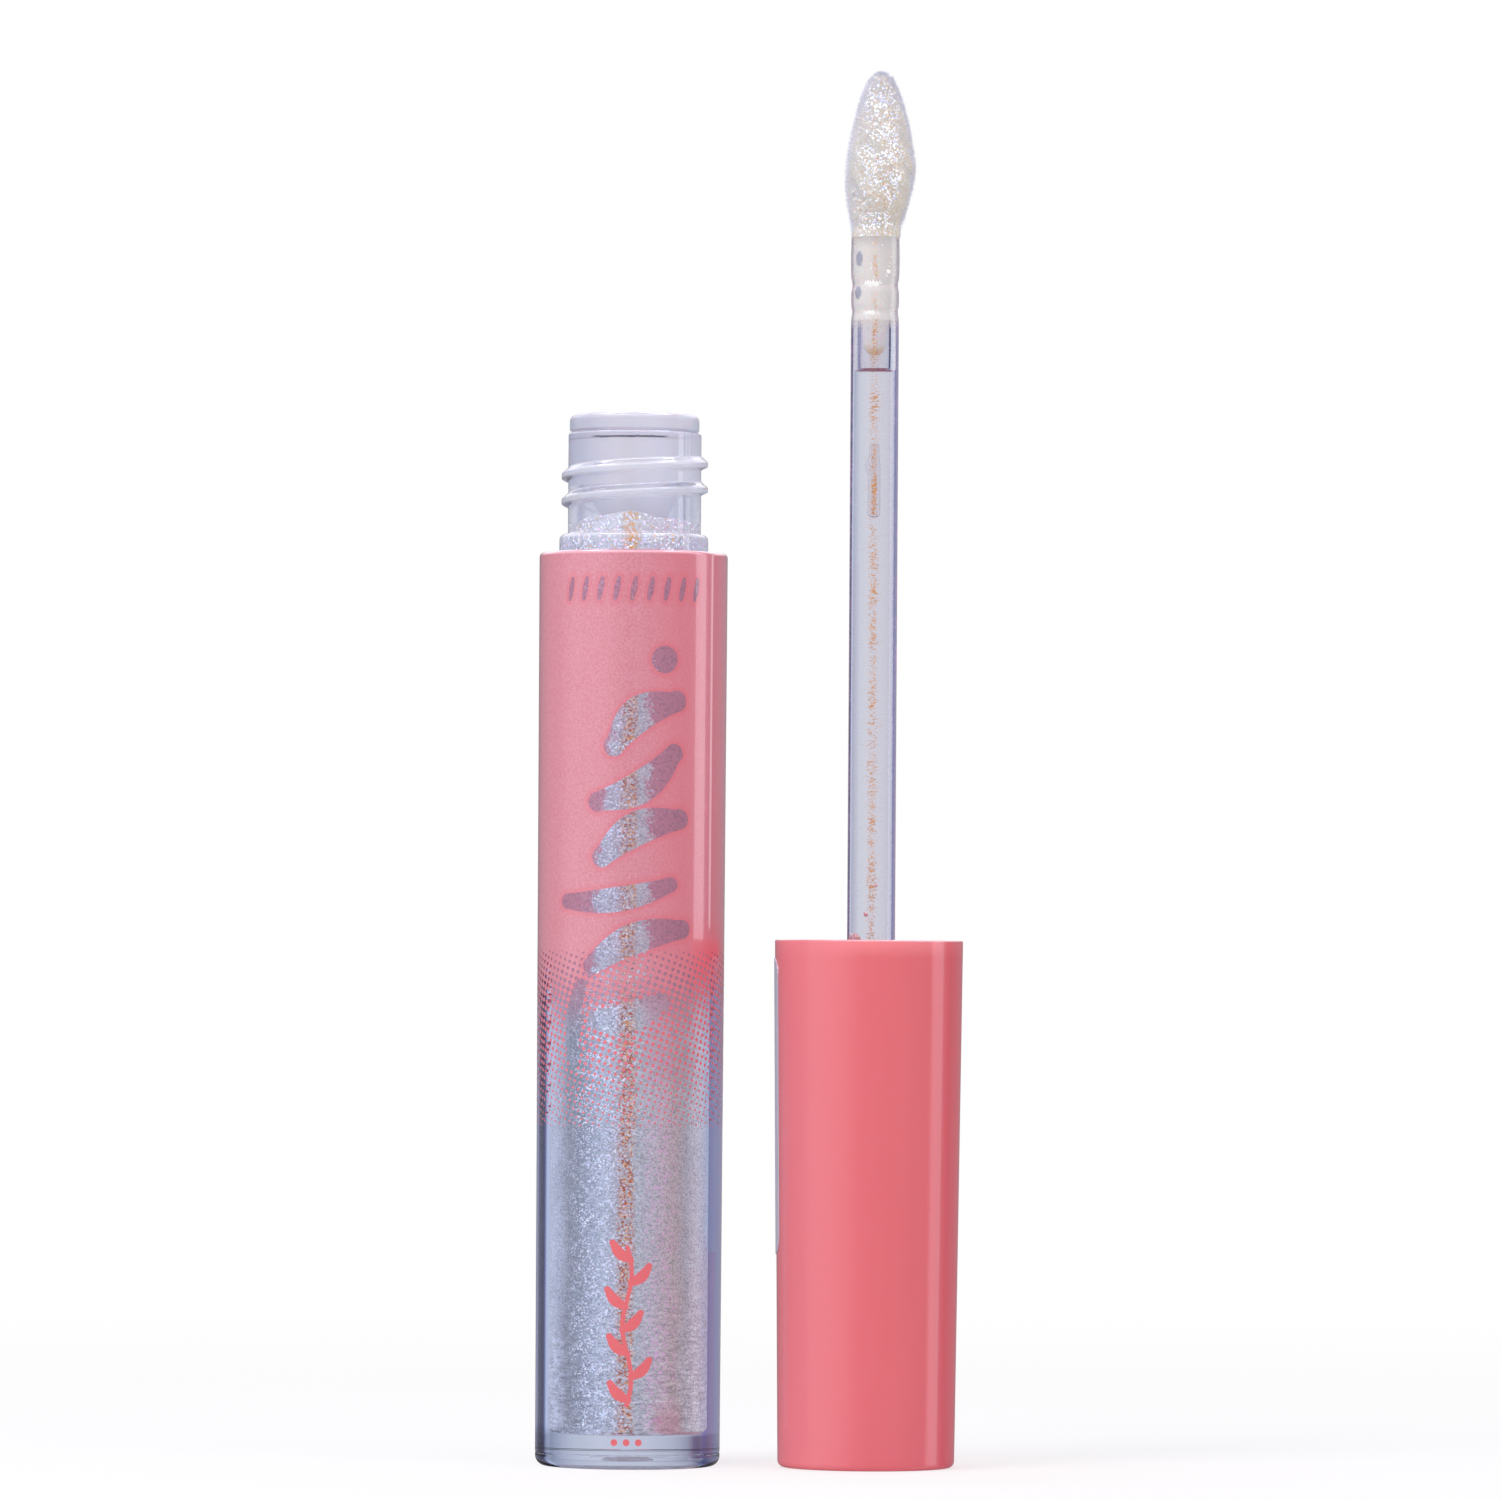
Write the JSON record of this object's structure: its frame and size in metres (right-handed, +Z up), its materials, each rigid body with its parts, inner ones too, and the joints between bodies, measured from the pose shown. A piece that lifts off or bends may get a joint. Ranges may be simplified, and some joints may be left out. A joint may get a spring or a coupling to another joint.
{
  "type": "lip gloss tube",
  "caption": "Clear threaded gloss bottle with wiper and gloss, and its screw cap applicator with wand and flocked tip standing beside it.",
  "frame": {"origin": "on the ground, midway between the bottle's axis and the applicator's axis; the bottle stands on its base at -X and the applicator on its cap's closed end at +X", "axes": "+Z up along both axes, +X from the bottle to the applicator, +Y to the back, where the cap's label is"},
  "size_m": [0.0328, 0.0146, 0.1076],
  "materials": {
    "clear_bottle": "thick clear moulded plastic, polished",
    "coral_coat": "satin coral coat and screen print on the bottle",
    "milky_wiper": "natural translucent polyethylene",
    "pearl_gloss": "pearly lilac gloss with blue, pink and gold flakes",
    "coral_cap": "glossy coral moulded plastic",
    "coral_liner": "coral moulded plastic",
    "silver_label": "silvery adhesive film, blank",
    "clear_wand": "clear moulded plastic with a film of gloss",
    "tip_core": "soft moulded elastomer",
    "wet_flock": "short white flock, wet with pearly gloss",
    "gloss_smear": "drops of pearly gloss"
  },
  "bodies": {
    "bottle": {"bottle": "clear_bottle", "wiper": "milky_wiper", "gloss_fill": "pearl_gloss"},
    "swing_carrier": {"gloss_drop_high": "gloss_smear"},
    "slide_carrier": {"gloss_drop_low": "gloss_smear"},
    "turn_carrier": {"gloss_drop_rim": "gloss_smear"},
    "applicator": {"outer_cap": "coral_cap", "inner_cap": "coral_liner", "cap_label": "silver_label", "wand_rod": "clear_wand", "applicator_stem": "tip_core", "applicator_flock": "wet_flock"}
  },
  "joints": [
    {"name": "applicator_swing", "type": "hinge", "parent": "bottle", "child": "swing_carrier", "pos_m": [0, 0, 0.097], "axis": [0, -1, 0], "range_deg": [0, 180], "deforming": ["gloss_drop_high"]},
    {"name": "applicator_slide", "type": "slide", "parent": "swing_carrier", "child": "slide_carrier", "axis": [0, 0, 1], "range_m": [0, 0.07918], "deforming": ["gloss_drop_low", "gloss_fill"]},
    {"name": "cap_turn", "type": "hinge", "parent": "slide_carrier", "child": "turn_carrier", "pos_m": [0.00918, 0, 0], "axis": [0, 0, 1], "range_deg": [0, 720], "deforming": ["gloss_drop_rim"]},
    {"name": "thread_advance", "type": "slide", "parent": "turn_carrier", "child": "applicator", "axis": [0, 0, 1], "range_m": [0, 0.00392]}
  ],
  "couplings": [
    {"joint": "thread_advance", "follows": "cap_turn", "m_per_rad": 0.00031194}
  ]
}
